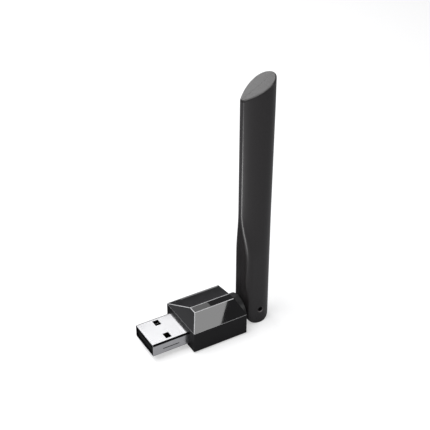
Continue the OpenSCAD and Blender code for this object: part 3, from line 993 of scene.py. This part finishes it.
class ADAPTER_OT_antenna(bpy.types.Operator):
    """Both halves of the antenna's casing, hollow, with the tongue's slot, the pin's hole and a painted
    highlight on the hole's flared edge
    """

    bl_idname = "adapter.antenna"
    bl_label = "Antenna casing"

    def execute(self, context):
        sizes = context.scene.adapter_antenna
        for side, name in ((-1, "antenna_right"), (1, "antenna_left")):
            half = surface_object(name, blade_sheets(sizes, side))
            cut(
                half,
                surface_object("hollow", blade_sheets(sizes, side, outer=False)),
                prism("slot", slot_outline(sizes), AXIS_Y - sizes.tongue_gap, AXIS_Y + sizes.tongue_gap),
                pin_hole(sizes),
                cable_hole(sizes),
            )
            tidy(half.data, MERGE)
            settle(half, "antenna", name + "_shell")
            # The flared edge of the pin's hole gets a paler finish, a painted highlight.
            centres, normals = face_frames(half)
            from_pin = np.hypot(centres[:, 0] - PIN.x, centres[:, 2] - PIN.z)
            depth = sizes.hinge_half - np.abs(centres[:, 1] - AXIS_Y)
            sloped = np.abs(normals[:, 1]) < 0.9
            ring = (from_pin < HOLE_R + sizes.hole_edge) & (depth < sizes.hole_edge) & sloped
            second_finish(half, painted_hole_rim_abs(context.scene.adapter_colours), ring)
        return {"FINISHED"}


def cable_hole(sizes):
    """Cutter for the cable's way from the slot into the hollow, where the frame's cable stands."""
    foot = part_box("coax_antenna")[0]
    radius = (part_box("coax_antenna")[1].y - foot.y) / 2
    centre = (foot.x + radius, AXIS_Y, PIN.z)
    reach = sizes.slot_top + 1.2 * MM
    hole_r = radius + 0.2 * MM
    return revolved("cable_hole", [(0, 0), (0, hole_r), (reach, hole_r), (reach, 0)], centre, (0, 0, 1), 32)


class ADAPTER_OT_hinge(bpy.types.Operator):
    """Hinge pin with chamfered ends"""

    bl_idname = "adapter.hinge"
    bl_label = "Hinge pin"

    def execute(self, context):
        low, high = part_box("hinge_pin")
        half, radius, chamfer = (high.y - low.y) / 2, (high.x - low.x) / 2, 0.15 * MM
        profile = [(-half, 0), (-half, radius - chamfer), (chamfer - half, radius), (half - chamfer, radius),
                   (half, radius - chamfer), (half, 0)]
        pin = revolved("hinge_pin_steel", profile, PIN, (0, 1, 0), 48)
        smooth(pin)
        settle(pin, "antenna", "hinge_pin")
        return {"FINISHED"}


class ADAPTER_OT_inner_parts(bpy.types.Operator):
    """Finishes of the construction nodes that show as they are"""

    bl_idname = "adapter.inner_parts"
    bl_label = "Inner parts"

    def execute(self, context):
        for name, obj in frame["nodes"].items():
            if not obj.hide_render:
                for place in obj.material_slots:
                    place.material = finish_for(SLOT_OF[name])
        return {"FINISHED"}


def facing(obj, place, target):
    """Puts a lamp or camera at a place, looking at a target, upright."""
    place, target = Vector(place), Vector(target)
    turn = (place - target).to_track_quat("Z", "Y").to_matrix()
    obj.matrix_world = Matrix.Translation(place) @ turn.to_4x4()


def softbox(name, level, width, height):
    """Rectangular lamp of a given radiance; its power is radiance * pi * area."""
    lamp = bpy.data.lights.new(name, "AREA")
    lamp.shape, lamp.size, lamp.size_y = "RECTANGLE", width, height
    lamp.energy = level * math.pi * width * height
    made = linked(name, lamp)
    made.visible_camera = False
    return made


def mirror_card(name, level, camera_at, points, normal, reach, width, height):
    """Softbox with one edge mirrored to the lens at two points of a flat face.

    The sight lines to the points are reflected in the face, d - 2 (d . n) n, and run on for the reach.
    The card's edge goes through their two ends, the card lies on the plug's side of it and faces back.
    """
    normal = np.array(normal) / np.linalg.norm(normal)
    sights = np.array(points) - np.array(camera_at)
    sights /= np.linalg.norm(sights, axis=1, keepdims=True)
    ends = np.array(points) + reach * (sights - 2 * (sights @ normal)[:, None] * normal)
    middle_edge = ends.mean(0)
    towards = np.mean(points, axis=0) - middle_edge
    towards /= np.linalg.norm(towards)
    along = ends[0] - ends[1]
    along -= (along @ towards) * towards
    along /= np.linalg.norm(along)
    across = np.cross(along, towards)
    across *= -np.sign(across[0])
    card = softbox(name, level, width, height)
    axes = Matrix([across.tolist(), np.cross(across, towards).tolist(), (-towards).tolist()]).transposed()
    place = Vector((middle_edge + across * width / 2).tolist())
    card.matrix_world = Matrix.Translation(place) @ axes.to_4x4()


def between(low, high, share):
    """The value that share of the way from low to high."""
    return low + (high - low) * share


def sheet(name, corners, finish_name):
    """An object of one quad with an empty material; returns it with the material's tree."""
    mesh = bpy.data.meshes.new(name)
    mesh.from_pydata(corners, [], [(0, 1, 2, 3)])
    made = bpy.data.materials.new(finish_name)
    mesh.materials.append(made)
    return linked(name, mesh), empty_tree(made)


class ADAPTER_OT_stage(bpy.types.Operator):
    """Floor, lamps, room light and camera"""

    bl_idname = "adapter.stage"
    bl_label = "Stage"

    def execute(self, context):
        scene = context.scene
        studio = scene.adapter_studio
        scene.camera = self.camera(studio)
        self.mirrored_cards(studio, scene.camera.matrix_world.translation)
        self.lamps(studio)
        self.flags()
        self.floor()
        self.room(scene, studio.sky_level)
        scene.view_settings.view_transform = "Standard"
        return {"FINISHED"}

    def camera(self, studio):
        """Camera at the studio's angle and distance from the aim point."""
        a, e = studio.azimuth, studio.elevation
        back = Vector((math.sin(a) * math.cos(e), -math.cos(a) * math.cos(e), math.sin(e)))
        aim = Vector(studio.aim)
        camera = linked("camera", bpy.data.cameras.new("camera"))
        camera.data.sensor_width, camera.data.lens = 36, studio.lens
        camera.data.clip_start, camera.data.clip_end = 0.01, 20
        facing(camera, aim + back * studio.distance, aim)
        return camera

    def mirrored_cards(self, studio, lens_at):
        """Two softboxes whose edges the lens sees in the cap's right facet and in its top strip."""
        low, high = top_strip()
        facet = (0, CASE_HIGH.z - CAP_TOP, low[1] - CASE_LOW.y)
        top = between(low[0], high[0], studio.shine_top)
        foot = between(CASE_LOW.x, CASE_HIGH.x, studio.shine_foot)
        strip = between(low[0], high[0], studio.shine_strip)
        facet_edge = [(top, low[1], CAP_TOP), (foot, CASE_LOW.y, CASE_HIGH.z)]
        strip_edge = [(strip, low[1], CAP_TOP), (strip, high[1], CAP_TOP)]
        mirror_card(
            "card_for_facet", studio.facet_level, lens_at, facet_edge, facet,
            reach=0.3, width=0.075, height=0.12,
        )
        mirror_card(
            "card_for_plug", studio.plug_level, lens_at, strip_edge, (0, 0, 1),
            reach=0.45, width=0.1, height=0.2,
        )

    def lamps(self, studio):
        """Softboxes overhead and behind, and a small low card on the left that faces up."""
        for name, level, width, height, place, target in (
            ("softbox_key", studio.key_level, 0.5, 0.5, (-0.28, 0.0, 0.56), (0, 0, 0.02)),
            ("softbox_behind", studio.back_level, 0.17, 0.2, (-0.03, 0.35, 0.288), (0.01, 0, 0.03)),
        ):
            facing(softbox(name, level, width, height), place, target)
        card = softbox("card_low_left", studio.low_level, 0.066, 0.025)
        turn, face_up = Matrix.Rotation(math.radians(21.7), 4, "Z"), Matrix.Rotation(math.pi, 4, "X")
        card.matrix_world = Matrix.Translation((-0.077, -0.0365, 0.0005)) @ turn @ face_up

    def flags(self):
        """A standing grey card behind the object and a near-black one on the floor beside it."""
        low, high, y = CAD_LOW[2], 0.05, 0.065
        standing = [(-0.02, y, low), (0.17, y, low), (0.17, y, high), (-0.02, y, high)]
        self.flag("flag_behind", standing, "#98989a")
        low += 0.0003
        lying = [(-0.034, 0.012, low), (0.003, 0.012, low), (0.003, 0.05, low), (-0.034, 0.05, low)]
        self.flag("flag_low", lying, "#0a0a0a")

    def flag(self, name, corners, tone):
        """Matt card that only mirrored light meets; it darkens what a gloss face shows."""
        card, tree = sheet(name, corners, name + "_velvet")
        cloth = add_node(tree, "ShaderNodeBsdfDiffuse", {"Color": linear(tone)})
        add_node(tree, "ShaderNodeOutputMaterial", {"Surface": cloth.outputs[0]})
        card.visible_camera = card.visible_diffuse = card.visible_shadow = False

    def floor(self):
        """Pale floor. Camera rays see it near white with the object's shadow, other rays plain grey."""
        half, level = 3.0, CAD_LOW[2]
        corners = [(-half, -half, level), (half, -half, level), (half, half, level), (-half, half, level)]
        floor, tree = sheet("floor", corners, "matt_paper_floor")
        lens = add_node(tree, "ShaderNodeLightPath").outputs["Is Camera Ray"]
        bounced = add_node(tree, "ShaderNodeBsdfDiffuse", {"Color": linear("#b4b4b6")})
        paper = add_node(tree, "ShaderNodeBsdfDiffuse", {"Color": linear("#d0d0d1")})
        glow = add_node(tree, "ShaderNodeEmission", {"Color": linear("#ffffff"), "Strength": 0.5})
        seen = add_node(tree, "ShaderNodeAddShader", {0: paper.outputs[0], 1: glow.outputs[0]})
        mixed = add_node(tree, "ShaderNodeMixShader", {0: lens, 1: bounced.outputs[0], 2: seen.outputs[0]})
        add_node(tree, "ShaderNodeOutputMaterial", {"Surface": mixed.outputs[0]})

    def room(self, scene, level):
        """Even room light: full white for camera and transmission rays, the given level for all others."""
        world = bpy.data.worlds.new("room")
        tree = empty_tree(world)
        path = add_node(tree, "ShaderNodeLightPath").outputs
        rays = {0: path["Is Camera Ray"], 1: path["Is Transmission Ray"]}
        seen = add_node(tree, "ShaderNodeMath", rays, operation="MAXIMUM")
        strength = add_node(
            tree, "ShaderNodeMapRange", {"Value": seen.outputs[0], "To Min": level, "To Max": 1.0}
        )
        light = add_node(
            tree, "ShaderNodeBackground", {"Color": linear("#ffffff"), "Strength": strength.outputs["Result"]}
        )
        add_node(tree, "ShaderNodeOutputWorld", {"Surface": light.outputs[0]})
        scene.world = world


class ADAPTER_PT_panel(bpy.types.Panel):
    """The adapter's operators"""

    bl_idname = "ADAPTER_PT_panel"
    bl_label = "Adapter"
    bl_space_type = "VIEW_3D"
    bl_region_type = "UI"
    bl_category = "Adapter"

    def draw(self, context):
        for operator in OPERATORS:
            self.layout.operator(operator.bl_idname)


GROUPS = {
    "adapter_plug": PlugSizes,
    "adapter_case": CaseSizes,
    "adapter_antenna": AntennaSizes,
    "adapter_colours": Colours,
    "adapter_studio": Studio,
}
OPERATORS = (
    ADAPTER_OT_plug,
    ADAPTER_OT_contacts,
    ADAPTER_OT_case,
    ADAPTER_OT_swivel,
    ADAPTER_OT_antenna,
    ADAPTER_OT_hinge,
    ADAPTER_OT_inner_parts,
    ADAPTER_OT_stage,
)


def register():
    for name, group in GROUPS.items():
        bpy.utils.register_class(group)
        setattr(bpy.types.Scene, name, PointerProperty(type=group))
    for made in (*OPERATORS, ADAPTER_PT_panel):
        bpy.utils.register_class(made)


def unregister():
    for made in reversed((*OPERATORS, ADAPTER_PT_panel)):
        bpy.utils.unregister_class(made)
    for name, group in GROUPS.items():
        delattr(bpy.types.Scene, name)
        bpy.utils.unregister_class(group)


def main():
    """Builds the pieces in order."""
    register()
    bpy.ops.adapter.plug()
    bpy.ops.adapter.contacts()
    bpy.ops.adapter.case()
    bpy.ops.adapter.swivel()
    bpy.ops.adapter.antenna()
    bpy.ops.adapter.hinge()
    bpy.ops.adapter.inner_parts()
    bpy.ops.adapter.stage()


if __name__ == "__main__":
    main()
